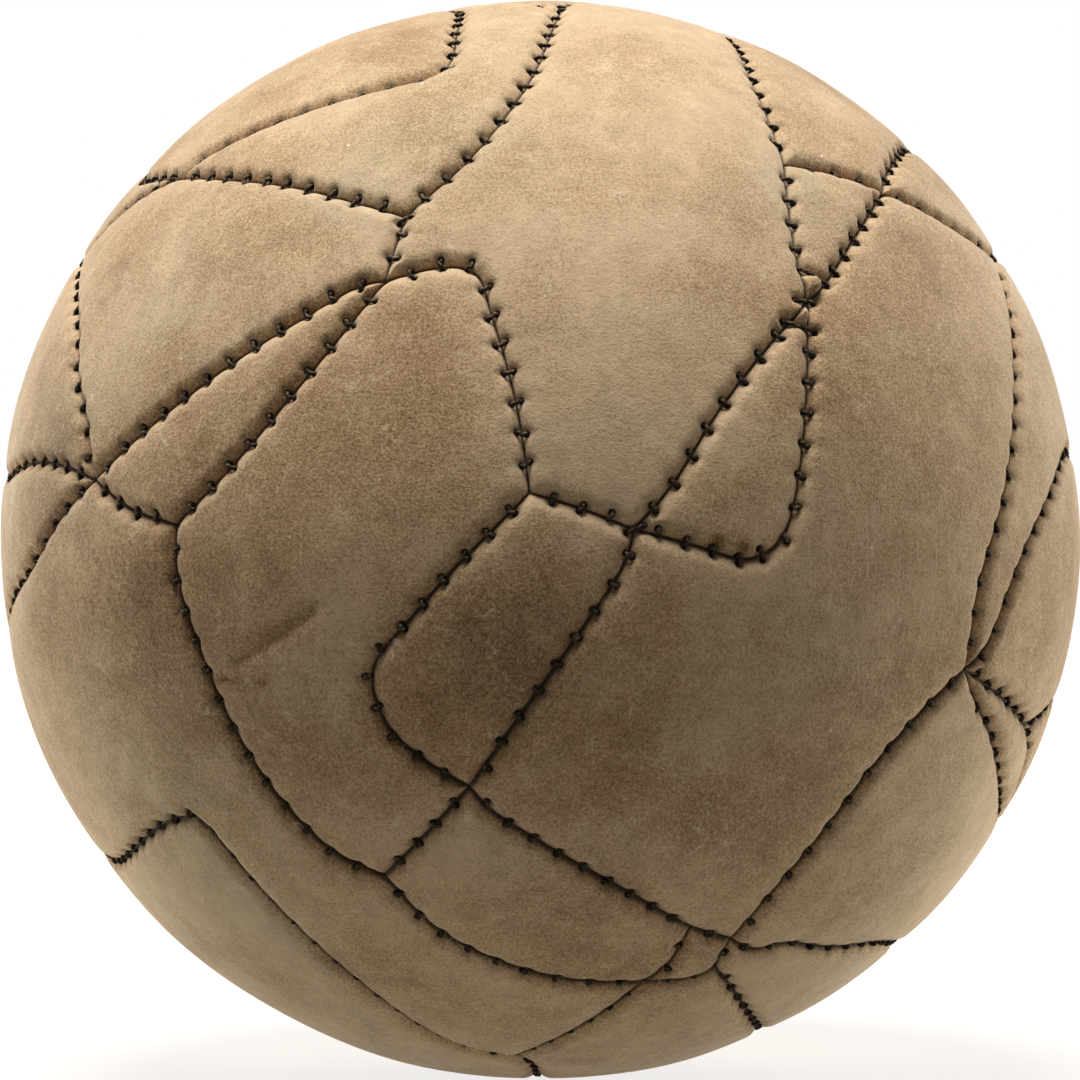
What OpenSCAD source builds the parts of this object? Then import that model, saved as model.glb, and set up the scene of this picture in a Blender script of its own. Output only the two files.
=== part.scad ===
// Leather soccer ball, hand sewn from odd-shaped leather panels over a lined rubber bladder.
// The ball's centre is the origin, the photographed side faces -Y and the valve is at the top, on +Z.

/* [Ball] */
// Outer diameter of the ball
ball_d = 220; // [200:1:240]

/* [Leather] */
// Thickness of a leather panel
leather_t = 2.2; // [2:0.1:3.5]
// Gap between neighbouring panels at a seam
seam_gap = 0.3; // [0.2:0.05:0.6]

/* [Thread] */
// Thickness of the waxed thread
thread_d = 1.1; // [0.8:0.05:1.3]
// Length of a stitch across its seam
stitch_len = 3.2; // [2.4:0.1:4]
// Distance from one stitch to the next along a seam
stitch_pitch = 6; // [5:0.1:12]
// Bare length of a seam at each of its ends
seam_end = 2; // [1.5:0.1:4]

/* [Lining] */
// Thickness of the cotton lining
lining_t = 0.6; // [0.4:0.1:1.2]
// Distance from the edge of the lining to the seam
lining_margin = 2; // [1:0.1:4]

/* [Bladder] */
// Wall of the rubber bladder
bladder_t = 0.8; // [0.5:0.1:1.5]
// Diameter of the patch round the valve, inside the bladder
patch_d = 44; // [34:1:60]
// Thickness of that patch
patch_t = 0.8; // [0.5:0.1:1.5]

/* [Valve] */
// Outer diameter of the valve's neck
neck_d = 8; // [7.6:0.1:10]
// Diameter of the valve's flange
flange_d = 24; // [16:0.5:27]
// Length of the neck inside the bladder
neck_tail = 5; // [2:0.1:8]
// Depth of the neck's mouth below the leather
mouth_depth = 0.4; // [0.2:0.1:1]
// Diameter of the self-sealing plug
plug_d = 5; // [4:0.1:5.6]
// Depth of the plug's top below the neck's mouth
plug_depth = 0.4; // [0:0.1:1]
// Diameter of the plug's collar, under the neck
collar_d = 7; // [6.6:0.1:12]
// Thickness of that collar
collar_t = 1.5; // [1:0.1:3]
// Diameter of the way for the inflating needle
needle_d = 2; // [1.6:0.1:2.6]

/* [Clearances] */
// Gap between one layer of the wall and the next
layer_gap = 0.1; // [0.05:0.01:0.3]
// Gap round a stitch in its channel
thread_gap = 0.1; // [0.05:0.01:0.3]
// Gap round the valve's neck, flange and plug
valve_gap = 0.1; // [0.05:0.01:0.3]

/* [Hidden] */
$fn = 96;
ball_r = ball_d / 2;
channel_w = stitch_len + 2 * thread_gap;
channel_depth = thread_d + 2 * thread_gap;
channel_r = ball_r - channel_depth;
thread_r = channel_r + thread_gap + thread_d / 2;
leather_in_r = ball_r - leather_t;
lining_r = leather_in_r - layer_gap;
lining_in_r = lining_r - lining_t;
bladder_r = lining_in_r - layer_gap;
bladder_in_r = bladder_r - bladder_t;
patch_r = bladder_in_r - layer_gap;
patch_in_r = patch_r - patch_t;
neck_top_z = ball_r - mouth_depth;
neck_low_z = patch_in_r - neck_tail;
plug_top_z = neck_top_z - plug_depth;
collar_z = neck_low_z - valve_gap;
// How far the raised field of a panel reaches down into the panel's base
field_root = (leather_t - channel_depth) / 2;
// Height of the flat top of a cutting cone, clear of the ball
cone_top = 1.05 * ball_r;
// Longest straight step along a smoothed seam, in degrees
curve_step = 2.5;
// Shortest straight step along an edge, in mm
least_step = 0.5;
// Share of its distance from the edge that a point moved inwards has to keep
clear_share = 0.98;
up = [0, 0, 1];

leather_colour = "#b39a72";
thread_colour = "#2b2119";
lining_colour = "#d8cfbb";
rubber_colour = "#3a3632";

// Places on the ball are [longitude, latitude] in degrees. Longitude is 0 where the ball faces the viewer,
// and grows to the right. The back of the ball is the front half given a half turn about the upright axis.
function turned(place) = [place[0] + 180, place[1]];

// Junctions where three or more seams meet, and the elbow of one seam
north_fork = [6.5, 73];
northwest_upper = [-16, 33.5];
northwest_lower = [-17, 26];
centre_west = [-1, 4.5];
centre_east = [9, 1];
elbow_east = [22, -1.5];
northeast_knot = [30, 24];
patch_west = [34.5, 41];
patch_east = [50.5, 38];
east_upper = [74.5, 31];
east_fork = [49.5, -13];
east_low = [68.5, -19.5];
west_inner = [-38.5, 1.5];
west_outer = [-51.5, 6];
west_upper = [-57.5, 40.5];
west_far = [-77.5, 30.5];
south_fork = [-7.5, -24.5];
southwest_fork = [-19, -35];
southeast_inner = [20.5, -42];
southeast_knot = [27.5, -44];
southeast_low = [27.5, -48.5];
south_low = [16.5, -50.5];
south_far = [-6.5, -68];
south_pole = [0, -90];
crown_east = [90, 75.5];
crown_west = turned(crown_east);
rim_low = [90, -33.5];
rim_foot_upper = [90, -48];
rim_foot_lower = [90, -66.5];

// Seams of the front half, each from junction to junction
FRONT_SEAMS = [
    [north_fork, [2, 64], [-1, 55.5], [-5, 47.5], [-10, 40], northwest_upper],
    [northwest_upper, [-16.5, 30], northwest_lower],
    [northwest_lower, [-13.5, 27], [-11, 27.5], [-8.5, 27.5], [-6.5, 26.5], [-5.5, 23.5], [-3.5, 17.5],
        [-2, 11.5], centre_west],
    [centre_west, [4, 3], centre_east],
    [centre_east, [13, 5.5], [17.5, 12], [23, 18], northeast_knot],
    [centre_east, [15, -0.5], [20, -2], elbow_east],
    [elbow_east, [23.5, -0.5], [25, 2], [26.5, 8], [28.5, 17.5], northeast_knot],
    [northeast_knot, [30.5, 30.5], [32.5, 37], patch_west],
    [patch_west, [36.5, 46.5], [42.5, 56], [65.5, 68], crown_east],
    [northeast_knot, [33, 26], [40.5, 32], patch_east],
    [patch_west, [39.5, 40.5], [47.5, 39], patch_east],
    [patch_east, [54.5, 37], [62.5, 34.5], [68, 33], east_upper],
    [east_upper, [69.5, 25.5], [63.5, 19], [59.5, 13], [54.5, 4], [50, -4.5], east_fork],
    [east_fork, [56.5, -15.5], [62.5, -17.5], east_low],
    [east_low, [73.5, -22], [78, -26.5], rim_low],
    [east_fork, [53, -16.5], [57.5, -19.5], [62.5, -23], [71.5, -28], rim_low],
    [east_fork, [44, -17], [38.5, -23], [34.5, -30], [30.5, -37.5], southeast_knot],
    [southeast_knot, southeast_inner],
    [southeast_inner, [10, -36.5], [0.5, -31], [-5.5, -27], south_fork],
    [south_fork, [-2, -17], [3, -10], [8, -2.5], centre_east],
    [centre_west, [-5, 0.5], [-9, -3.5], [-13, -8], [-15.5, -10.5], [-17, -13.5], [-15.5, -18.5],
        [-13.5, -20.5], [-11, -22.5], south_fork],
    [south_fork, [-12.5, -29.5], southwest_fork],
    [southwest_fork, [-25, -32], [-30.5, -25], [-34, -17.5], [-36.5, -10], [-38.5, -3.5], west_inner],
    [west_inner, [-32.5, 6.5], [-27, 12.5], [-21.5, 19.5], northwest_lower],
    [northwest_lower, [-20, 25.5], [-26, 22], [-32, 18.5], [-37.5, 15], [-43, 11.5], west_outer],
    [west_outer, [-45, 3], west_inner],
    [west_outer, [-54.5, 12], [-59, 17], [-63.5, 22.5], west_far],
    [west_far, [-72.5, 35.5], [-63, 39.5], west_upper],
    [west_upper, [-45, 39.5], [-33.5, 38], [-23, 35.5], northwest_upper],
    [west_upper, [-55, 43], [-43, 48], [-29, 52], [-19.5, 54.5], [-17.5, 57.5], [-20, 63.5], [-43, 77],
        crown_west],
    [north_fork, [16.5, 80], [47, 80.5], crown_east],
    [north_fork, [-7.5, 80], [-49, 81], crown_west],
    [southwest_fork, [-14, -42], [-5.5, -47], [5.5, -50], south_low],
    [southeast_inner, [19.5, -47.5], south_low],
    [south_low, [25, -50], southeast_low],
    [southeast_low, southeast_knot],
    [south_low, [12, -56], [1.5, -64], south_far],
    [south_far, [-2.5, -72], south_pole],
    [south_far, [-20.5, -64], [-31, -50], [-37.5, -38], [-42, -29.5], [-45, -29], [-51.5, -30.5], [-73, -36],
        turned(rim_low)],
    [southeast_knot, [32.5, -46], [37, -45], [48, -46.5], [64, -47], rim_foot_upper],
    [southeast_low, [36.5, -54], [67, -64], rim_foot_lower],
    [rim_low, rim_foot_upper],
    [rim_foot_upper, rim_foot_lower],
    [rim_foot_lower, south_pole]
];

// Seams that run from the front half round the right side to the back half
SIDE_SEAMS = [
    [patch_east, [55.5, 41], [75.5, 46], [90, 45], [102, 41.5], [111, 41], turned(west_upper)],
    [east_upper, [90, 31.5], turned(west_far)],
    [east_fork, [52.5, -11], [56.5, -4], [62.5, 2], [75.5, 9], [90, 8], [99, 6.5], [113, 8], [122, 7.5],
        turned(west_outer)],
    [east_low, [72.5, -19], [90, -14.5], [99, -8.5], [114, -3], [122.5, 2.5], turned(west_outer)]
];

// Panels as loops of junctions
FRONT_PANELS = [
    [north_fork, northwest_upper, northwest_lower, centre_west, centre_east, northeast_knot, patch_west,
        crown_east],
    [northwest_lower, centre_west, south_fork, southwest_fork, west_inner],
    [centre_west, centre_east, south_fork],
    [centre_east, elbow_east, northeast_knot],
    [northeast_knot, patch_east, east_upper, east_fork, southeast_knot, southeast_inner, south_fork,
        centre_east, elbow_east],
    [northeast_knot, patch_west, patch_east],
    [northwest_lower, west_inner, west_outer],
    [northwest_upper, northwest_lower, west_outer, west_far, west_upper],
    [south_fork, southeast_inner, south_low, southwest_fork],
    [north_fork, crown_west, west_upper, northwest_upper],
    [southeast_inner, southeast_knot, southeast_low, south_low],
    [southeast_knot, rim_foot_upper, rim_foot_lower, southeast_low],
    [east_fork, rim_low, rim_foot_upper, southeast_knot],
    [southeast_low, rim_foot_lower, south_pole, south_far, south_low],
    [south_far, south_pole, turned(rim_foot_lower), turned(rim_foot_upper), turned(rim_low)],
    [east_fork, east_low, rim_low]
];
RIGHT_PANELS = [
    [crown_east, patch_west, patch_east, turned(west_upper)],
    [patch_east, east_upper, turned(west_far), turned(west_upper)],
    [east_upper, east_fork, turned(west_outer), turned(west_far)],
    [east_fork, east_low, turned(west_outer)],
    [east_low, rim_low, turned(south_far), turned(south_low), turned(southwest_fork), turned(west_inner),
        turned(west_outer)]
];
CROWN_PANEL = [north_fork, crown_east, turned(north_fork), crown_west];

// Directions on the unit ball
function toward(place) = [sin(place[0]) * cos(place[1]), -cos(place[0]) * cos(place[1]), sin(place[1])];
function unit(v) = v / norm(v);
function sum(list) = [for (v = list) 1] * list;
function same(a, b) = norm(a - b) < 0.001;
function arc(a, b) = 2 * asin(norm(a - b) / 2);
function backwards(list) = [for (i = [len(list) - 1 : -1 : 0]) list[i]];
function half_turn(list) = [for (v = list) [-v.x, -v.y, v.z]];

// A smooth curve through the points of a seam
function on_curve(p, i, t) =
    let (
        last = len(p) - 1,
        before = i > 0 ? p[i - 1] : 2 * p[0] - p[1],
        after = i + 2 <= last ? p[i + 2] : 2 * p[last] - p[last - 1],
        slope = (p[i + 1] - before) / 2,
        bend = before - 2.5 * p[i] + 2 * p[i + 1] - after / 2,
        twist = 1.5 * (p[i] - p[i + 1]) + (after - before) / 2
    )
    unit(p[i] + t * slope + t * t * bend + t * t * t * twist);
function smooth(seam) =
    let (p = [for (place = seam) toward(place)], last = len(p) - 1)
    [
        for (i = [0 : last - 1])
            let (steps = ceil(arc(p[i], p[i + 1]) / curve_step))
            for (k = [0 : steps - 1]) on_curve(p, i, k / steps),
        p[last]
    ];

front_curves = [for (seam = FRONT_SEAMS) smooth(seam)];
side_curves = [for (seam = SIDE_SEAMS) smooth(seam)];
half_curves = concat(front_curves, side_curves);
all_curves = concat(half_curves, [for (curve = half_curves) half_turn(curve)]);

// The outline of a panel, anticlockwise as seen from outside
function starts(curve, a) = same(curve[0], a);
function ends(curve, b) = same(curve[len(curve) - 1], b);
function curve_between(a, b) =
    [
        for (curve = all_curves)
            if (starts(curve, a) && ends(curve, b)) curve
            else if (starts(curve, b) && ends(curve, a)) backwards(curve)
    ][0];
function middle(outline) = unit(sum(outline));
function swept(outline) =
    let (n = len(outline))
    sum([for (i = [0 : n - 1]) cross(outline[i], outline[(i + 1) % n])]) * middle(outline);
function outline_of(loop) =
    let (
        n = len(loop),
        joined = [
            for (i = [0 : n - 1])
                let (curve = curve_between(toward(loop[i]), toward(loop[(i + 1) % n])))
                for (k = [0 : len(curve) - 2]) curve[k]
        ]
    )
    swept(joined) > 0 ? joined : backwards(joined);

// The outline moved inwards by a distance, without the points that would come too near another edge
function gap_to_edge(q, a, b) =
    let (t = max(0, min(1, (q - a) * (b - a) / ((b - a) * (b - a)))))
    norm(q - a - t * (b - a));
function clear_of(q, outline, distance) =
    let (n = len(outline))
    min([for (i = [0 : n - 1]) gap_to_edge(q, outline[i], outline[(i + 1) % n])]) > clear_share * distance;
function spaced(points) =
    let (n = len(points))
    [for (i = [0 : n - 1]) if (norm(points[(i + 1) % n] - points[i]) * ball_r > least_step) points[i]];
function inset(outline, distance) =
    let (n = len(outline), back = distance / ball_r)
    spaced([
        for (i = [0 : n - 1])
            let (
                p = outline[i],
                left_in = unit(cross(p, p - outline[(i + n - 1) % n])),
                left_out = unit(cross(p, outline[(i + 1) % n] - p)),
                q = unit(p + back * (left_in + left_out) / (1 + left_in * left_out))
            )
            if (clear_of(q, outline, back)) q
    ]);

// The half turn that carries a piece of the front half to the back
module to_back() {
    rotate([0, 0, 180]) children();
}

// A cone from the ball's centre through an outline
module cone(outline, centre) {
    n = len(outline);
    rim = [for (p = outline) p * cone_top / (p * centre)];
    sides = [for (i = [1 : n]) [0, i, i % n + 1]];
    polyhedron(points = concat([[0, 0, 0]], rim), faces = concat(sides, [[for (i = [n : -1 : 1]) i]]));
}

// A ball whose poles lie away from the direction that matters
module ball(centre, r) {
    rotate([0, asin(centre.z), atan2(centre.y, centre.x) + 180]) sphere(r = r);
}

module layer(outline, outer, inner, margin) {
    centre = middle(outline);
    difference() {
        intersection() {
            ball(centre, outer);
            cone(inset(outline, margin), centre);
        }
        ball(centre, inner);
    }
}

module upright_hole(d) {
    cylinder(d = d, h = cone_top);
}

// A round piece of a layer, at the top of the ball
module top_disc(outer, inner, d) {
    difference() {
        intersection() {
            ball(up, outer);
            upright_hole(d);
        }
        ball(up, inner);
    }
}

// A panel: a base that almost meets its neighbours, and a raised field that leaves a channel for the stitches
module leather_panel(loop) {
    outline = outline_of(loop);
    color(leather_colour)
        union() {
            layer(outline, channel_r, leather_in_r, seam_gap / 2);
            layer(outline, ball_r, leather_in_r + field_root, channel_w / 2);
        }
}

module crown_panel() {
    color(leather_colour)
        difference() {
            leather_panel(CROWN_PANEL);
            upright_hole(neck_d + 2 * valve_gap);
        }
}

module lining_piece(loop) {
    layer(outline_of(loop), lining_r, lining_in_r, lining_margin);
}

module lining_front() {
    color(lining_colour)
        for (loop = FRONT_PANELS) lining_piece(loop);
}

module lining_right() {
    color(lining_colour)
        for (loop = RIGHT_PANELS) lining_piece(loop);
}

module lining_crown() {
    color(lining_colour)
        difference() {
            lining_piece(CROWN_PANEL);
            upright_hole(flange_d + 2 * valve_gap);
        }
}

module bladder() {
    color(rubber_colour)
        difference() {
            sphere(r = bladder_r);
            sphere(r = bladder_in_r);
            upright_hole(neck_d + 2 * valve_gap);
        }
}

module valve_patch() {
    color(rubber_colour)
        difference() {
            top_disc(patch_r, patch_in_r, patch_d);
            upright_hole(neck_d + 2 * valve_gap);
        }
}

module valve_body() {
    color(rubber_colour)
        difference() {
            union() {
                top_disc(lining_r, lining_in_r, flange_d);
                translate([0, 0, neck_low_z]) cylinder(d = neck_d, h = neck_top_z - neck_low_z);
            }
            upright_hole(plug_d + 2 * valve_gap);
        }
}

module valve_plug() {
    color(rubber_colour)
        difference() {
            union() {
                translate([0, 0, collar_z]) cylinder(d = plug_d, h = plug_top_z - collar_z);
                translate([0, 0, collar_z - collar_t]) cylinder(d = collar_d, h = collar_t);
            }
            upright_hole(needle_d);
        }
}

// Places of the stitches along a curve, each as [direction, way along the seam]
function lengths(curve) =
    let (last = len(curve) - 1)
    [
        for (i = 0, total = 0; i <= last; total = total + arc(curve[i], curve[min(i + 1, last)]), i = i + 1)
            total
    ];
function stitch_at(curve, reached, angle) =
    let (
        i = max([for (k = [0 : len(curve) - 2]) if (reached[k] <= angle) k]),
        part = (angle - reached[i]) / (reached[i + 1] - reached[i]),
        p = unit(curve[i] + part * (curve[i + 1] - curve[i])),
        way = curve[i + 1] - curve[i]
    )
    [p, unit(way - (way * p) * p)];
function stitches(curve) =
    let (
        reached = lengths(curve),
        end = seam_end / ball_r * 180 / PI,
        free = reached[len(curve) - 1] - 2 * end,
        count = max(1, round(free * PI / 180 * ball_r / stitch_pitch))
    )
    [for (k = [0 : count - 1]) stitch_at(curve, reached, end + free * (k + 0.5) / count)];

// Stitches of each curve that keep clear of the stitches of the curves before it
function apart(place, others) =
    min([for (other = others) norm(place[0] - other[0])]) * ball_r > stitch_len + thread_d / 2;
function sewn(curves) =
    let (rows = [for (curve = curves) stitches(curve)])
    [
        for (i = [0 : len(rows) - 1])
            let (before = [for (k = [0 : 1 : i - 1]) each rows[k]])
            for (place = rows[i])
                if (i == 0 || apart(place, before)) place
    ];

module stitch(place) {
    p = place[0];
    way = place[1];
    across = cross(p, way);
    at = p * thread_r;
    multmatrix([
        [p.x, way.x, across.x, at.x],
        [p.y, way.y, across.y, at.y],
        [p.z, way.z, across.z, at.z]
    ])
        cylinder(d = thread_d, h = stitch_len, center = true);
}

module thread_front() {
    color(thread_colour)
        for (place = sewn(front_curves)) stitch(place);
}

module thread_sides() {
    color(thread_colour)
        for (place = sewn(side_curves)) {
            stitch(place);
            to_back() stitch(place);
        }
}

front_count = len(FRONT_PANELS);
right_count = len(RIGHT_PANELS);

for (i = [1 : front_count]) {
    leather_panel(FRONT_PANELS[i - 1]);
    to_back() leather_panel(FRONT_PANELS[i - 1]);
}
for (i = [1 : right_count]) {
    leather_panel(RIGHT_PANELS[i - 1]);
    to_back() leather_panel(RIGHT_PANELS[i - 1]);
}
crown_panel();
lining_front();
to_back() lining_front();  // lining_back
lining_right();
to_back() lining_right();  // lining_left
lining_crown();
bladder();
valve_patch();
valve_body();
valve_plug();
thread_front();
to_back() thread_front();  // thread_back
thread_sides();
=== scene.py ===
"""Leather soccer ball: nubuck panels sewn with waxed thread over a lined bladder, with a needle valve on top.

Points are in millimetres on the ball until a mesh is made, and meshes are in the frame's metres.
"""

import math

import bpy
import numpy as np
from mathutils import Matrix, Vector, geometry, kdtree


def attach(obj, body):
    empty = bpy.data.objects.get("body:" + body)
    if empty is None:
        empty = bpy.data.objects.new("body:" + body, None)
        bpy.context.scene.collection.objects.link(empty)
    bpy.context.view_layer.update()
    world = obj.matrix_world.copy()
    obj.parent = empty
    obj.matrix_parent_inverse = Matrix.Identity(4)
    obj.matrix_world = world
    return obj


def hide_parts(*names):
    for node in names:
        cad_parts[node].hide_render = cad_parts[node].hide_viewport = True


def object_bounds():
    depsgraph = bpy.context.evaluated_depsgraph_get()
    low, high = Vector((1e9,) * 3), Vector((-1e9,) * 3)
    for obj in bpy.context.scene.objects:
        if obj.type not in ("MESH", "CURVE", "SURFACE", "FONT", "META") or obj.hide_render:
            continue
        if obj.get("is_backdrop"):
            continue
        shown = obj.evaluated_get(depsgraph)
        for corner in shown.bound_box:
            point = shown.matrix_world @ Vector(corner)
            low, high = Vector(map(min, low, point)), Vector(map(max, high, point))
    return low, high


MM = 0.001

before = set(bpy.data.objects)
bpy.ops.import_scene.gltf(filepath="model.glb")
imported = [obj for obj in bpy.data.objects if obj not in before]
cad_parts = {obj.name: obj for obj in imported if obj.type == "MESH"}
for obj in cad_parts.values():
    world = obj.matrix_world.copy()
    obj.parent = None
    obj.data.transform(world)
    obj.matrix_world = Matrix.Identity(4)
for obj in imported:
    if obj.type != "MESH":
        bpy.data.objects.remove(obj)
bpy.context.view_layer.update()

# Names of the CAD nodes that are dressed here
LEATHER_NODES = [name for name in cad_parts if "panel" in name]
THREAD_NODES = ["thread_front", "thread_back", "thread_sides"]
LINING_NODES = [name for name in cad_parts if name.startswith("lining")]
RUBBER_NODES = ["bladder", "valve_patch", "valve_body", "valve_plug"]

# Leather: spacing of the mesh's points, from the seam inwards; the room between bands of them; and the share
# of its distance from the seam that each point of a ring keeps
EDGE_STEP = 0.7
ROLL_RINGS = [0.14, 0.28, 0.5, 0.85, 1.3, 1.9, 2.6, 3.4]
FINE_STEP, FINE_REACH = 1.3, 9.0
FIELD_STEP = 2.4
BACK_STEP = 6.0
BAND_ROOM, CREASE_ROOM = 0.5, 0.4
RING_KEPT, RING_MARGIN = 0.96, 0.9

# Leather: the least turn that makes a corner of its outline, how far other bends are eased, and how far its
# edge grows to close the CAD's seam gap
CORNER_TURN = math.radians(50)
EASE = 1.5
EDGE_GROWTH = 0.1

# Leather: how its edge rolls down into the seam and puckers where a stitch pulls it in, the lip round an
# opening, and the unevenness of its field
ROLL_DEPTH, ROLL_WIDTH, ROLL_POWER = 1.5, 2.9, 2.2
SWELL_DEPTH, SWELL_WIDTH = 0.4, 5.0
PULL, PULL_ALONG, PULL_REACH = 0.42, 0.9, 1.3
PUCKER_DEPTH, PUCKER_ALONG, PUCKER_REACH = 0.13, 1.2, 4.5
CRACK_DEPTH, CRACK_WIDTH = 0.4, 0.2
LEAST_LEATHER = 0.12
LIP_DEPTH, LIP_WIDTH = 0.7, 0.8
SAG, SAG_SIZE = 0.18, 38.0
SAG_WAVES, SAG_LENGTHS, SAG_SEED = 9, (0.7, 1.6), 3

# Needle holes in the leather, nearer to the seam where the thread is drawn tight, low on the ball; the rings of
# points round them; and the room those keep
HOLE_REACH_LOW, HOLE_REACH_HIGH = 0.6, 0.98
TIGHT_BELOW, LOOSE_ABOVE = -12.0, 35.0
HOLE_RINGS = [(0.0, 1), (0.35, 6), (0.66, 9), (0.98, 12)]
HOLE_DEPTH, HOLE_WIDTH = 1.1, 0.75
HOLE_SPACING = 1.3
HOLE_ROOM, HOLE_MARGIN, HOLE_GAP = 0.2, 0.7, 0.05

# Waxed thread: half thickness, heights over the ball's round from its root to the middle of a stitch, where
# its crests are, its plies, and the points of its mesh
THREAD_R = 0.45
THREAD_ROOT, THREAD_HOLE, THREAD_CREST, THREAD_MIDDLE = -2.15, -1.6, -1.15, -1.12
CREST_SHARE, CREST_LEAN = 0.6, 0.75
THREAD_PLIES, PLY_DEPTH, PLY_TURNS = 3, 0.15, 1.3
THREAD_RINGS, THREAD_SIDES = 15, 12

# Stitches: spacing, and how many pitches off the next one may be; how far their holes lie along the seam;
# the shift where the seam bends; and how much they vary
STITCH_PITCH, NEXT_LEAST, NEXT_MOST = 6.0, 0.5, 1.3
STITCH_VEE, STITCH_SLANT = 0.4, 0.3
BEND_SHIFT, MOST_SHIFT = 0.3, 0.6
STITCH_LIFT, STITCH_SWAY = 0.1, 0.15
VEE_RANGE, REACH_RANGE, THICKNESS_RANGE = (0.6, 1.2), (0.9, 1.12), (0.92, 1.1)

# Places below are (longitude, latitude) in degrees, as on a globe, with longitude 0 on the photographed side.
# The back of the ball repeats them after a half turn.

# Seams drawn so tight that their stitches sink in
TIGHT_SEAMS = [
    [(-55.0, 43.0), (-43.0, 48.0), (-29.0, 52.0), (-19.5, 54.5)],
    [(34.5, 41.0), (39.5, 40.5), (47.5, 39.0), (50.5, 38.0)],
    [(54.5, 37.0), (62.5, 34.5), (68.0, 33.0)],
    [(-42.0, -29.5), (-37.5, -38.0), (-31.0, -50.0), (-20.5, -64.0)],
    [(16.5, -50.5), (12.0, -56.0), (1.5, -64.0), (-6.5, -68.0)],
    [(16.5, -50.5), (25.0, -50.0)],
]
TIGHT_ROOM, TIGHT_SHARE, TIGHT_SINK = 3.0, 0.5, 0.3

# How far other stitches stand out low on the ball, most in the middle of its front and back
LOW_LIFT = 0.3

# Stitches set one by one, each from hole to hole. Most tie down the tips of panels at a junction, and the tips
# below stay round.
TIES = [
    [(30.1, 27.7), (33.4, 25.9)],
    [(26.3, 21.8), (30.1, 20.7)],
    [(28.3, 24.1), (30.8, 23.9)],
    [(8.3, 0.7), (10.0, 1.4)],
    [(-16.6, 32.7), (-15.2, 33.5)],
    [(21.6, -0.8), (22.0, -1.9)],
]
TIE_DEPTH, TIE_WIDTH, TIE_HEIGHT, TIE_ROOM = 1.5, 0.8, -1.35, 1.9
TIPS = [(31.1, 25.7), (28.5, 22.6)]
TIP_RISE, TIP_WIDTH, MOST_RISE = 2.0, 1.6, 0.5

# Folds that use has pressed into the leather, each with painted shade along it
CREASES = [
    [(-31.1, -11.6), (-28.0, -10.1), (-24.8, -8.4), (-22.2, -6.7)],
    [(-34.0, -13.4), (-31.1, -13.8), (-28.3, -13.6)],
]
CREASE_DEPTH, CREASE_WIDTH, CREASE_SHADE = 0.7, 1.5, 0.2
CREASE_STEP, CREASE_ROWS = 0.9, [-2.1, -1.4, -0.7, 0.0, 0.7, 1.4, 2.1]

# Stains, each with its radius in mm and its strength, which is below 0 where the leather is rubbed pale. A few
# are painted light or painted shade, as marked.
STAINS = [
    [(-3.8, -9.4), 13, 0.26],
    [(5.9, -15.2), 24, 0.07],
    [(17.2, -25.7), 22, 0.02],
    [(31.3, -5.7), 20, -0.06],
    [(-10.5, 6.6), 11, 0.12],
    [(-16.9, -15.3), 17, 0.1],
    [(-27.5, -9.8), 5, 0.08],
    [(-28.0, -19.0), 13, 0.12],
    [(-35.9, 26.2), 17, -0.08],
    [(-25.8, 31.5), 9, 0.08],
    [(-17.9, 30.6), 5, -0.14],
    [(-44.4, -4.9), 9, 0.12],
    [(-40.0, -0.5), 20, 0.16],
    [(0.0, -9.9), 7, -0.09],
    [(-8.9, -0.5), 8, -0.06],
    # A painted highlight where the small panels by the knot shine
    [(20.3, 18.9), 8, -0.1],
    [(19.0, 0.9), 7, -0.08],
    [(53.1, 30.4), 14, 0.1],
    [(34.5, 20.2), 16, 0.08],
    [(-20.0, -41.0), 22, -0.12],
    [(-33.0, -38.0), 14, -0.06],
    [(-47.0, -6.5), 16, 0.1],
    [(-62.0, -4.0), 24, 0.12],
    [(-36.7, 9.7), 10, 0.15],
    # A painted highlight where the small panels by the knot shine
    [(22.3, 28.0), 7, -0.08],
    [(-58.3, 10.1), 10, 0.09],
    [(-1.0, -40.0), 14, 0.03],
    # These last two are painted shade of two empty needle holes, as small dark spots
    [(17.1, -0.1), 1.3, 0.5],
    [(19.7, -0.6), 1.3, 0.5],
]

# Places where the tan has faded towards grey, each with its radius in mm and its strength
FADED = [
    [(-14.5, 43.0), 17, 1.0],
    [(-45.5, -38.8), 24, 0.7],
    [(33.7, 36.8), 12, 0.9],
    [(-58.3, 10.1), 14, 1.0],
    [(-24.0, 34.0), 10, 0.7],
    [(50.0, -30.0), 24, 0.6],
    [(-48.0, -22.0), 24, 0.8],
    [(-44.0, 26.0), 20, 0.4],
    [(-4.0, -9.0), 12, 0.6],
]

# Places where the leather is scratched, each with its radius in mm and its strength
SCUFFED = [
    [(36.0, -8.0), 22, 1.0],
    [(20.0, -28.0), 16, 0.8],
    [(12.0, 30.0), 18, 0.5],
    [(-30.0, 22.0), 14, 0.5],
    [(-46.0, -24.0), 20, 0.6],
    [(50.0, -30.0), 16, 0.5],
]

# Dirt and painted shade along the seams: on both sides low on the ball, and above its middle only on edges that
# face down, while edges that face up are rubbed pale and get a painted highlight there. Low on the ball, the
# seam's grime and painted shade are wider on edges that face up.
SEAM_DIRT_AND_SHADE, SEAM_DIRT_AND_SHADE_WIDTH = 0.3, 1.7
SEAM_RUB_AND_HIGHLIGHT, SEAM_RUB_AND_HIGHLIGHT_WIDTH = 0.12, 2.5
DIRT_AND_SHADE_BELOW, RUB_AND_HIGHLIGHT_ABOVE = -35.0, 10.0
LOW_GRIME_AND_SHADE = 4.0

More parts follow.
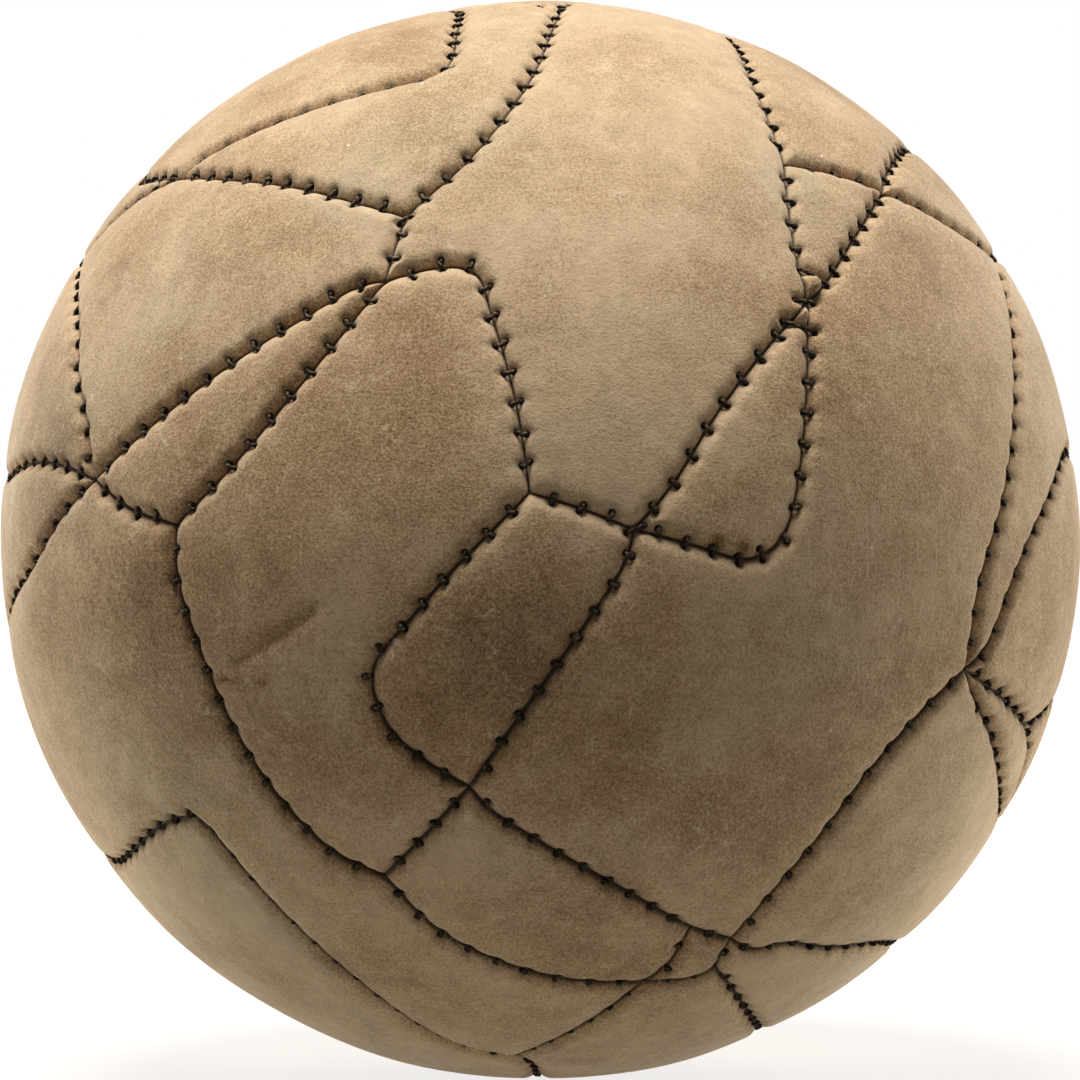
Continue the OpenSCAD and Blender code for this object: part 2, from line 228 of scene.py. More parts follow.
# How much darker or lighter a hide each panel was cut from, for panels that differ from the rest
PANEL_TONES = {
    "panel_1": -0.1,
    "panel_3": 0.02,
    "panel_4": -0.05,
    "panel_6": -0.05,
    "panel_8": -0.04,
    "panel_10": -0.07,
    "panel_12": -0.12,
    "panel_13": -0.1,
    "panel_14": -0.04,
    "panel_15": -0.06,
    "panel_16": -0.05,
}

# Distance given to points that are far from any seam or hole
FAR = 20.0

# Directions that no panel or hole faces, from which their sideways directions are taken
PANEL_ASIDE, HOLE_ASIDE = [0.31, 0.47, 0.83], [0.2, 0.5, 0.8]

# How near heights and points of a mesh lie to count as the same
SAME_HEIGHT, SAME_POINT, POINT_MOVED = 0.05, 1e-6, 1e-3

random = np.random.RandomState(7)


def unit(v):
    return v / np.linalg.norm(v, axis=-1, keepdims=True)


def dot(a, b):
    return np.sum(a * b, axis=-1)


def turned(points):
    """Points given a half turn about the upright axis, from the front of the ball to its back."""
    return points * np.array([-1, -1, 1])


def on_ball(places):
    """Points of the ball's round at places on it."""
    lon, lat = np.radians(np.array(places, float)).T
    return BALL_R * np.stack([np.sin(lon) * np.cos(lat), -np.cos(lon) * np.cos(lat), np.sin(lat)], axis=1)


def line_distance(points, line):
    """Distance of each point from an open line."""
    found = []
    for start, end in zip(line, line[1:]):
        step = end - start
        share = np.clip((points - start) @ step / (step @ step), 0, 1)
        found.append(np.linalg.norm(points - start - share[:, None] * step, axis=1))
    return np.min(found, axis=0)


# Shapes read from the frame


def node_triangles(name):
    """Corners of a CAD node in mm, with doubled corners joined, and its triangles."""
    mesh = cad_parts[name].data
    mesh.calc_loop_triangles()
    corners = np.zeros(len(mesh.vertices) * 3)
    mesh.vertices.foreach_get("co", corners)
    triangles = np.zeros(len(mesh.loop_triangles) * 3, int)
    mesh.loop_triangles.foreach_get("vertices", triangles)
    points, same = np.unique(np.round(corners.reshape(-1, 3) / MM, 3), axis=0, return_inverse=True)
    return points, same.ravel()[triangles].reshape(-1, 3)


def inner_loops(name):
    """Edges of a panel's inner face as closed loops, the longest first."""
    points, triangles = node_triangles(name)
    reach = np.linalg.norm(points, axis=1)
    inner = triangles[np.all(reach[triangles] < reach.min() + SAME_HEIGHT, axis=1)]
    edges = {(int(a), int(b)) for t in inner for a, b in zip(t, np.roll(t, -1))}
    after = dict(sorted(edge for edge in edges if edge[::-1] not in edges))
    loops = []
    while after:
        first = at = next(iter(after))
        loop = []
        while at in after:
            loop.append(at)
            at = after.pop(at)
        loops.append(points[loop])
    return sorted(loops, key=len, reverse=True)


def stitch_frames(name):
    """Middle, crossing direction and way along the seam of each stitch in a thread node."""
    points, triangles = node_triangles(name)
    island = np.arange(len(points))
    while True:
        lowest = island[triangles].min(axis=1)
        joined = island.copy()
        for corner in range(3):
            np.minimum.at(joined, triangles[:, corner], lowest)
        if np.array_equal(joined, island):
            break
        island = joined
    frames = []
    for label in np.unique(island):
        body = points[island == label]
        middle = body.mean(axis=0)
        up = unit(middle)
        across = np.linalg.eigh(np.cov((body - middle).T))[1][:, -1]
        across = unit(across - dot(across, up) * up)
        along = np.cross(up, across)
        # Each way along a seam goes up, or to the right where the seam is nearly level
        if along[2] + 0.2 * along[0] < 0:
            across, along = -across, -along
        frames.append((up * BALL_R, across, along))
    return [np.array(part) for part in zip(*frames)]


BALL_R = max(np.linalg.norm(node_triangles(name)[0], axis=1).max() for name in LEATHER_NODES)
LEATHER_BACK_R = min(np.linalg.norm(node_triangles(name)[0], axis=1).min() for name in LEATHER_NODES)


front_ties = np.array([on_ball(tie) for tie in TIES])
front_creases = [on_ball(crease) for crease in CREASES]
front_tight = [on_ball(seam) for seam in TIGHT_SEAMS]
tight_seams = front_tight + [turned(seam) for seam in front_tight]
tips = np.concatenate([on_ball(TIPS), turned(on_ball(TIPS))])
ties = np.concatenate([front_ties, turned(front_ties)])
creases = front_creases + [turned(crease) for crease in front_creases]


def seam_bend(middle, across, along):
    """How far to its side each stitch's next stitches lie, where the seam bends."""
    bend = np.zeros(len(middle))
    for k in range(len(middle)):
        step = middle - middle[k]
        ahead = np.abs(step @ along[k])
        near = ahead > NEXT_LEAST * STITCH_PITCH
        near &= np.linalg.norm(step, axis=1) < NEXT_MOST * STITCH_PITCH
        if near.any():
            bend[k] = np.mean(step[near] @ across[k])
    return bend


class Sewing:
    """The stitches of one thread node, and where each one's two needle holes are."""

    def __init__(self, name):
        self.name = name
        middle, across, along = stitch_frames(name)
        free = np.min([line_distance(middle, tie) for tie in ties], axis=0) > TIE_ROOM
        middle, self.across, self.along = middle[free], across[free], along[free]
        count = len(middle)
        shift = BEND_SHIFT * seam_bend(middle, self.across, self.along)
        middle = middle - np.clip(shift, -MOST_SHIFT, MOST_SHIFT)[:, None] * self.across
        self.middle = unit(middle) * BALL_R
        slant = random.uniform(-STITCH_SLANT, STITCH_SLANT, count)
        vee = random.uniform(*VEE_RANGE, count) * STITCH_VEE
        low = np.interp(self.middle[:, 2], [TIGHT_BELOW, LOOSE_ABOVE], [1, 0])
        reach = HOLE_REACH_HIGH + (HOLE_REACH_LOW - HOLE_REACH_HIGH) * low
        tight = np.min([line_distance(self.middle, seam) for seam in tight_seams], axis=0) < TIGHT_ROOM
        self.slack = np.where(tight, TIGHT_SHARE, 1.0)
        facing = (self.middle[:, 1] / BALL_R) ** 2
        self.sink = np.where(tight, TIGHT_SINK, -LOW_LIFT * low * facing)
        self.reach = reach * self.slack * random.uniform(*REACH_RANGE, count)
        self.lean = np.stack([vee + slant, vee - slant], axis=1)
        sides = np.stack([-self.reach, self.reach], axis=1)
        holes = self.middle[:, None] + sides[..., None] * self.across[:, None]
        holes = holes + self.lean[..., None] * self.along[:, None]
        self.holes = unit(holes) * BALL_R


sewing = [Sewing(name) for name in THREAD_NODES]
STITCHES = np.concatenate([s.middle for s in sewing])
STITCH_WAYS = np.concatenate([s.along for s in sewing])
STITCH_SLACK = np.concatenate([s.slack for s in sewing])
HOLES = np.concatenate([s.holes.reshape(-1, 3) for s in sewing] + [ties.reshape(-1, 3)])


# Flat maps of a panel, for filling it with points


def panel_view(outline):
    """Three directions: two across the panel and one out through its middle."""
    out = unit(outline.mean(axis=0))
    right = unit(np.cross(PANEL_ASIDE, out))
    return np.array([right, np.cross(out, right), out])


def flattened(points, view):
    local = unit(points) @ view.T
    return 2 * BALL_R * local[:, :2] / (1 + local[:, 2:])


def lifted(flat, view):
    half = flat / (2 * BALL_R)
    square = dot(half, half)[:, None]
    return BALL_R * np.hstack([2 * half, 1 - square]) / (1 + square) @ view


def within(flat, loop):
    """Which flat points lie inside a closed loop."""
    start, end = loop, np.roll(loop, -1, axis=0)
    x, y = flat[:, :1], flat[:, 1:]
    crossed = (start[:, 1] > y) != (end[:, 1] > y)
    with np.errstate(divide="ignore", invalid="ignore"):
        at = start[:, 0] + (y - start[:, 1]) * (end[:, 0] - start[:, 0]) / (end[:, 1] - start[:, 1])
    return np.sum(crossed & (x < at), axis=1) % 2 == 1


def nearest(points, targets):
    """Index of the nearest target and its distance, for each point."""
    tree = kdtree.KDTree(len(targets))
    for index, target in enumerate(targets):
        tree.insert(target, index)
    tree.balance()
    found = [tree.find(point)[1:] for point in points]
    return np.array([index for index, _ in found], int), np.array([gap for _, gap in found])


def edge_distance(points, loop):
    """Distance of each point from a closed loop, by the two steps of it that meet at its nearest point."""
    index, _ = nearest(points, loop)
    found = []
    for turn in (-1, 1):
        start = loop[index]
        step = loop[(index + turn) % len(loop)] - start
        share = np.clip(dot(points - start, step) / dot(step, step), 0, 1)
        found.append(np.linalg.norm(points - start - share[:, None] * step, axis=1))
    return np.minimum(*found)


def evenly(line, step):
    """Points at even steps along an open line, with both its ends."""
    lengths = np.linalg.norm(np.diff(line, axis=0), axis=1)
    reached = np.concatenate([[0], np.cumsum(lengths)])
    stops = np.linspace(0, reached[-1], max(2, round(reached[-1] / step)) + 1)
    return np.stack([np.interp(stops, reached, line[:, k]) for k in range(3)], axis=1)


def eased(line):
    """An open line with its bends eased and its ends kept."""
    reach = math.ceil(3 * EASE / EDGE_STEP)
    weights = np.exp(-0.5 * (np.arange(-reach, reach + 1) * EDGE_STEP / EASE) ** 2)
    weights /= weights.sum()
    if len(line) <= reach + 1:
        return line
    before = 2 * line[0] - line[reach:0:-1]
    after = 2 * line[-1] - line[-2 : -2 - reach : -1]
    padded = np.concatenate([before, line, after])
    return np.stack([np.convolve(padded[:, k], weights, "valid") for k in range(3)], axis=1)


def panel_edge(loop):
    """A panel's outline at even steps, anticlockwise from outside, with corners kept and bends eased."""
    loop = unit(loop) * BALL_R
    if dot(np.cross(loop, np.roll(loop, -1, axis=0)).sum(axis=0), loop.mean(axis=0)) < 0:
        loop = loop[::-1]
    way = unit(np.roll(loop, -1, axis=0) - loop)
    turn = np.arccos(np.clip(dot(way, np.roll(way, 1, axis=0)), -1, 1))
    corners = np.flatnonzero(turn > CORNER_TURN)
    if len(corners) == 0:
        corners = np.array([0])
    loop = np.roll(loop, -corners[0], axis=0)
    stops = list(corners - corners[0]) + [len(loop)]
    closed = np.concatenate([loop, loop[:1]])
    stretches = [eased(evenly(closed[a : b + 1], EDGE_STEP)) for a, b in zip(stops, stops[1:])]
    edge = np.concatenate([stretch[:-1] for stretch in stretches])
    return unit(edge - EDGE_GROWTH * inward(edge)) * BALL_R


def inward(edge):
    """The way into its panel at each point of an edge."""
    before = unit(edge - np.roll(edge, 1, axis=0))
    after = unit(np.roll(edge, -1, axis=0) - edge)
    return unit(np.cross(edge, before + after))


def ring_inside(edge, distance):
    """The edge moved inwards by a distance, without points that come too near another stretch of it."""
    ring = unit(edge + distance * inward(edge)) * BALL_R
    return ring[edge_distance(ring, edge) > RING_KEPT * distance]


def lattice(flat_edge, step):
    """A hexagonal lattice over the flat box of an edge."""
    low, high = flat_edge.min(axis=0), flat_edge.max(axis=0)
    points = []
    for row, y in enumerate(np.arange(low[1], high[1], step * math.sqrt(0.75))):
        points += [(x, y) for x in np.arange(low[0] + step / 2 * (row % 2), high[0], step)]
    return np.array(points)


def filled(flat_loops, flat_points):
    """Triangles that fill the first loop and leave the others open, over the loops' points and the rest."""
    points = np.concatenate([*flat_loops, flat_points])
    edges, first = [], 0
    for loop in flat_loops:
        count = len(loop)
        edges += [(first + k, first + (k + 1) % count) for k in range(count)]
        first += count
    made = geometry.delaunay_2d_cdt([Vector(p) for p in points], edges, [], 1, SAME_POINT)
    flat = np.array([tuple(p) for p in made[0]])
    triangles = np.array(made[2])
    for loop in flat_loops[1:]:
        triangles = triangles[~within(flat[triangles].mean(axis=1), loop)]
    if len(flat) != len(points) or np.abs(flat - points).max() > POINT_MOVED:
        raise ValueError("the outline of a panel crosses itself")
    a, b, c = (flat[triangles[:, k]] for k in range(3))
    turn = (b - a)[:, 0] * (c - a)[:, 1] - (b - a)[:, 1] * (c - a)[:, 0]
    return np.where((turn < 0)[:, None], triangles[:, ::-1], triangles)


# Leather panels


def panel_points(edge, openings, view):
    """Points inside a panel: rings along the rolled edge, needle holes, a fine band and a coarser field."""
    flat_edge = flattened(edge, view)
    rims = [edge, *openings]
    first, last = ROLL_RINGS[0], ROLL_RINGS[-1]
    clear_of_holes = HOLE_RINGS[-1][0] + HOLE_ROOM

    def inside(points, margin):
        points = points[within(flattened(points, view), flat_edge)]
        for rim in rims:
            points = points[edge_distance(points, rim) > margin]
        return points

    holes = inside(HOLES[nearest(HOLES, edge)[1] < last], 2 * first)
    if len(holes) > 1:
        gaps = np.linalg.norm(holes[:, None] - holes, axis=-1)
        holes = holes[~np.any(np.tril(gaps < HOLE_SPACING, -1), axis=1)]

    def open_ground(points, margin):
        points = inside(points, margin)
        if len(holes) and len(points):
            points = points[nearest(points, holes)[1] > clear_of_holes]
        return points

    found = []
    for distance in ROLL_RINGS:
        for rim in rims:
            way_round = rim if rim is edge else rim[::-1]
            found.append(open_ground(ring_inside(way_round, distance), RING_MARGIN * distance))
    fine = open_ground(lifted(lattice(flat_edge, FINE_STEP), view), last + BAND_ROOM)
    fine = fine[edge_distance(fine, edge) < FINE_REACH]
    field = open_ground(lifted(lattice(flat_edge, FIELD_STEP), view), FINE_REACH + BAND_ROOM)
    ground = np.concatenate([fine, field])
    for crease in creases:
        ground = ground[line_distance(ground, crease) > CREASE_ROWS[-1] + CREASE_ROOM]
        line = evenly(crease, CREASE_STEP)
        side = unit(np.cross(line, np.gradient(line, axis=0)))
        for offset in CREASE_ROWS:
            found.append(open_ground(unit(line + offset * side) * BALL_R, last + BAND_ROOM))
    found.append(ground)
    for index, hole in enumerate(holes):
        side = unit(np.cross(hole, HOLE_ASIDE))
        other = np.cross(unit(hole), side)
        others = np.delete(holes, index, axis=0)
        for radius, count in HOLE_RINGS:
            angle = np.arange(count) * 2 * math.pi / count
            ring = np.cos(angle)[:, None] * side + np.sin(angle)[:, None] * other
            ring = inside(unit(hole + radius * ring) * BALL_R, HOLE_MARGIN * first)
            if len(others) and len(ring):
                ring = ring[nearest(ring, others)[1] > radius + HOLE_GAP]
            found.append(ring)
    return np.concatenate(found), holes


def unevenness(points):
    """Smooth, seeded waves over the ball, about -1 to 1."""
    drawn = np.random.RandomState(SAG_SEED)
    total = np.zeros(len(points))
    for _ in range(SAG_WAVES):
        way = unit(drawn.normal(size=3))
        length = SAG_SIZE * drawn.uniform(*SAG_LENGTHS)
        total += np.sin(points @ way * 2 * math.pi / length + drawn.uniform(0, 6.3))
    return total / math.sqrt(SAG_WAVES)


def leather_form(points, edge, openings, holes):
    """Height of the leather over the ball's round, and distances to seam and needle hole."""
    seam = edge_distance(points, edge)
    index, _ = nearest(points, STITCHES)
    beside = dot(points - STITCHES[index], STITCH_WAYS[index])
    pull = PULL * STITCH_SLACK[index] * np.exp(-((beside / PULL_ALONG) ** 2) - seam / PULL_REACH)
    from_seam = np.maximum(seam - pull, 0)
    roll = np.clip(1 - from_seam / ROLL_WIDTH, 0, 1)
    height = -ROLL_DEPTH * roll**ROLL_POWER
    swell = SWELL_DEPTH * np.exp(-from_seam / SWELL_WIDTH)
    height -= swell + CRACK_DEPTH * np.exp(-((seam / CRACK_WIDTH) ** 2))
    height -= PUCKER_DEPTH * np.exp(-((beside / PUCKER_ALONG) ** 2) - seam / PUCKER_REACH)
    height += SAG * unevenness(points) * (1 - np.exp(-seam / SWELL_WIDTH))
    for opening in openings:
        height -= LIP_DEPTH * np.exp(-((edge_distance(points, opening) / LIP_WIDTH) ** 2))
    for tie in ties:
        height -= TIE_DEPTH * np.exp(-((line_distance(points, tie) / TIE_WIDTH) ** 2))
    for tip in tips:
        height += TIP_RISE * np.exp(-((np.linalg.norm(points - tip, axis=1) / TIP_WIDTH) ** 2))
    for crease in creases:
        height -= CREASE_DEPTH * np.exp(-((line_distance(points, crease) / CREASE_WIDTH) ** 2))
    hole = np.full(len(points), FAR)
    if len(holes):
        hole = nearest(points, holes)[1]
        height -= HOLE_DEPTH * np.exp(-((hole / HOLE_WIDTH) ** 2))
    return np.clip(height, LEATHER_BACK_R + LEAST_LEATHER - BALL_R, MOST_RISE), seam, hole


def patches(points, marks):
    """The sum of soft round marks at each point, on the front of the ball and again on its back."""
    total = np.zeros(len(points))
    for place, radius, strength in marks:
        spot = on_ball([place])
        for middle in (spot, turned(spot)):
            total += strength * np.exp(-((np.linalg.norm(points - middle, axis=1) / radius) ** 2))
    return total


def soiling_and_shade(points, node, edge, seam):
    """How dark the leather is, with painted shade along seams and folds, below 0 on rubbed edges and
    painted-highlight edges; and how many times its usual width the seam's grime and painted shade have.
    """
    dark = np.full(len(points), PANEL_TONES.get(node.removeprefix("front_").removeprefix("back_"), 0.0))
    facing_down = inward(edge)[nearest(points, edge)[0], 2]
    high = np.interp(points[:, 2], [DIRT_AND_SHADE_BELOW, RUB_AND_HIGHLIGHT_ABOVE], [0, 1])
    dirt_and_shade = 1 - high + high * np.clip(facing_down, 0, 1)
    # Painted shade with the dirt: on both sides of seams low on the ball, and on edges that face down above its
    # middle
    dark += SEAM_DIRT_AND_SHADE * dirt_and_shade * np.exp(-seam / SEAM_DIRT_AND_SHADE_WIDTH)
    # Painted highlight with the rub, on edges that face up above the middle of the ball
    dark -= SEAM_RUB_AND_HIGHLIGHT * high * np.clip(-facing_down, 0, 1) * np.exp(-seam / SEAM_RUB_AND_HIGHLIGHT_WIDTH)
    # Painted shade along the folds
    for crease in creases:
        dark += CREASE_SHADE * np.exp(-((line_distance(points, crease) / CREASE_WIDTH) ** 2))
    # The seam's grime and painted shade are wider on edges that face up low on the ball, which the panel above
    # shades
    return dark + patches(points, STAINS), 1 + (LOW_GRIME_AND_SHADE - 1) * (1 - high) * np.clip(-facing_down, 0, 1)


def mesh_object(name, points, faces, material):
    """A closed mesh from points in mm."""
    mesh = bpy.data.meshes.new(name)
    mesh.from_pydata((np.asarray(points) * MM).tolist(), [], faces)
    mesh.shade_smooth()
    mesh.materials.append(material)
    mesh.validate()
    made = bpy.data.objects.new(name, mesh)
    bpy.context.scene.collection.objects.link(made)
    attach(made, "root")
    return made


def give(made, name, values):
    made.data.attributes.new(name, "FLOAT", "POINT").data.foreach_set("value", values.astype(np.float32))


def leather_panel(node, material):
    """One sewn panel: a pillowed outer face, rolled edges, and a plain back, in place of its CAD node."""
    loops = inner_loops(node)
    edge = panel_edge(loops[0])
    openings = [unit(evenly(np.concatenate([loop, loop[:1]]), EDGE_STEP)[:-1]) * BALL_R for loop in loops[1:]]
    view = panel_view(edge)
    rims = [edge, *openings]
    flat_rims = [flattened(rim, view) for rim in rims]
    rim_points = np.concatenate(rims)
    inside, holes = panel_points(edge, openings, view)
    outer = np.concatenate([rim_points, inside])
    outer_faces = filled(flat_rims, flattened(inside, view))
    height, seam, hole = leather_form(outer, edge, openings, holes)
    dark, seam_shade_width = soiling_and_shade(outer, node, edge, seam)
    faded, scuffed = patches(outer, FADED), patches(outer, SCUFFED)
    outer = unit(outer) * (BALL_R + height)[:, None]
    back_flat = lattice(flat_rims[0], BACK_STEP)
    back_field = lifted(back_flat, view)
    keep = within(back_flat, flat_rims[0])
    for rim in rims:
        keep &= edge_distance(back_field, rim) > BACK_STEP / 2
    back_field = back_field[keep]
    back_faces = filled(flat_rims, flattened(back_field, view))
    back = unit(np.concatenate([rim_points, back_field])) * LEATHER_BACK_R
    first = len(outer)
    directed = {(int(a), int(b)) for t in outer_faces for a, b in zip(t, np.roll(t, -1))}
    walls = [(b, a, a + first, b + first) for a, b in sorted(directed) if (b, a) not in directed]
    faces = outer_faces.tolist() + (back_faces[:, ::-1] + first).tolist() + walls
    made = mesh_object("leather_" + node, np.concatenate([outer, back]), faces, material)
    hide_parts(node)
    plain, clean = np.full(len(back), FAR), np.zeros(len(back))
    # Where the seam's grime and painted shade are widened, the seam is given as nearer
    give(made, "seam_mm", np.concatenate([seam / seam_shade_width, plain]))
    give(made, "hole_mm", np.concatenate([hole, plain]))
    # Darkness from stains and dirt, with painted shade along seams and folds and painted highlight on edges
    # that face up
    give(made, "soiling_and_shade", np.concatenate([dark, clean]))
    give(made, "fading", np.concatenate([faded, clean]))
    give(made, "scuffing", np.concatenate([scuffed, clean]))


# Waxed thread


def spline(points, count):
    """A smooth line through control points, which run along the second axis."""
    ends = [2 * points[:, :1] - points[:, 1:2], points, 2 * points[:, -1:] - points[:, -2:-1]]
    p = np.concatenate(ends, axis=1)
    stops = np.linspace(0, points.shape[1] - 1, count)
    at = np.minimum(stops.astype(int), points.shape[1] - 2)
    t = (stops - at)[None, :, None]
    a, b, c, d = (p[:, at + k] for k in range(4))
    return 0.5 * (2 * b + t * (c - a) + t**2 * (2 * a - 5 * b + 4 * c - d) + t**3 * (3 * b - a - 3 * c + d))


def stitch_paths(rows):
    """The way of each stitch's thread: out of one hole, over the seam and into the other hole."""
    count = len(rows.middle)
    up = unit(rows.middle)
    lift = random.uniform(-STITCH_LIFT, STITCH_LIFT, (count, 1)) - rows.sink[:, None]
    sway = random.uniform(-STITCH_SWAY, STITCH_SWAY, (count, 1))
    left, right = rows.lean[:, :1], rows.lean[:, 1:]
    reach = rows.reach[:, None]
    stops = [
        (-reach, left, THREAD_ROOT),
        (-reach, left, THREAD_HOLE),
        (-CREST_SHARE * reach, CREST_LEAN * left, THREAD_CREST + lift),
        (0 * reach, sway, THREAD_MIDDLE + lift),
        (CREST_SHARE * reach, CREST_LEAN * right, THREAD_CREST + lift),
        (reach, right, THREAD_HOLE),
        (reach, right, THREAD_ROOT),
    ]
    return np.stack([rows.middle + u * rows.across + v * rows.along + w * up for u, v, w in stops], axis=1)


def tie_paths(ends):
    """The way of each long stitch over the tip of a panel."""
    stops = [
        (0.0, THREAD_ROOT),
        (0.0, THREAD_HOLE),
        (0.2, TIE_HEIGHT),
        (0.5, TIE_HEIGHT),
        (0.8, TIE_HEIGHT),
        (1.0, THREAD_HOLE),
        (1.0, THREAD_ROOT),
    ]
    start, end = ends[:, 0], ends[:, 1]
    return np.stack([unit(start + t * (end - start)) * (BALL_R + w) for t, w in stops], axis=1)


def sewn_thread(name, paths, material):
    """Three-ply thread along each path, in place of a thread node."""
    count = len(paths)
    line = spline(paths, THREAD_RINGS)
    ahead = unit(np.gradient(line, axis=1))
    across = unit(paths[:, -1] - paths[:, 0])
    along = np.cross(unit(paths.mean(axis=1)), across)[:, None]
    side = unit(along - dot(along, ahead)[..., None] * ahead)
    other = np.cross(ahead, side)
    angle = np.arange(THREAD_SIDES) * 2 * math.pi / THREAD_SIDES
    twist = np.linspace(0, PLY_TURNS * 2 * math.pi, THREAD_RINGS)[:, None]
    turn = random.uniform(0, 2 * math.pi, (count, 1, 1))
    thick = THREAD_R * random.uniform(*THICKNESS_RANGE, (count, 1, 1))
    crest = np.cos(THREAD_PLIES * (angle + twist) + turn)
    radius = thick * (1 - PLY_DEPTH + PLY_DEPTH * crest)
    ring = np.cos(angle)[:, None] * side[:, :, None] + np.sin(angle)[:, None] * other[:, :, None]
    points = (line[:, :, None] + radius[..., None] * ring).reshape(-1, 3)
    faces = []
    for stitch in range(count):
        base = stitch * THREAD_RINGS * THREAD_SIDES
        for k in range(THREAD_RINGS - 1):
            row = base + k * THREAD_SIDES
            for j in range(THREAD_SIDES):
                after = (j + 1) % THREAD_SIDES
                faces.append((row + j, row + after, row + THREAD_SIDES + after, row + THREAD_SIDES + j))
        last = base + (THREAD_RINGS - 1) * THREAD_SIDES
        faces.append(tuple(base + j for j in reversed(range(THREAD_SIDES))))
        faces.append(tuple(last + j for j in range(THREAD_SIDES)))
    made = mesh_object("waxed_" + name, points, faces, material)
    give(made, "ply_crest", crest.ravel())
    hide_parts(name)


# Materials


def linear(hex_colour):
    """An sRGB hex colour as linear RGBA."""
    parts = [int(hex_colour[k : k + 2], 16) / 255 for k in (1, 3, 5)]
    return [c / 12.92 if c <= 0.04045 else ((c + 0.055) / 1.055) ** 2.4 for c in parts] + [1.0]


def add(tree, kind, inputs=None, **settings):
    """A node with its settings; each input is a value, or a socket to link from."""
    node = tree.nodes.new(kind)
    for name, value in settings.items():
        setattr(node, name, value)
    for name, value in (inputs or {}).items():
        if isinstance(value, bpy.types.NodeSocket):
            tree.links.new(value, node.inputs[name])
        else:
            node.inputs[name].default_value = value
    return node


def new_material(name):
    material = bpy.data.materials.new(name)
    material.use_nodes = True
    material.node_tree.nodes.clear()
    return material, material.node_tree


def per_mm(size):
    """Scale of a pattern whose features are size millimetres wide."""
    return 1 / (size * MM)


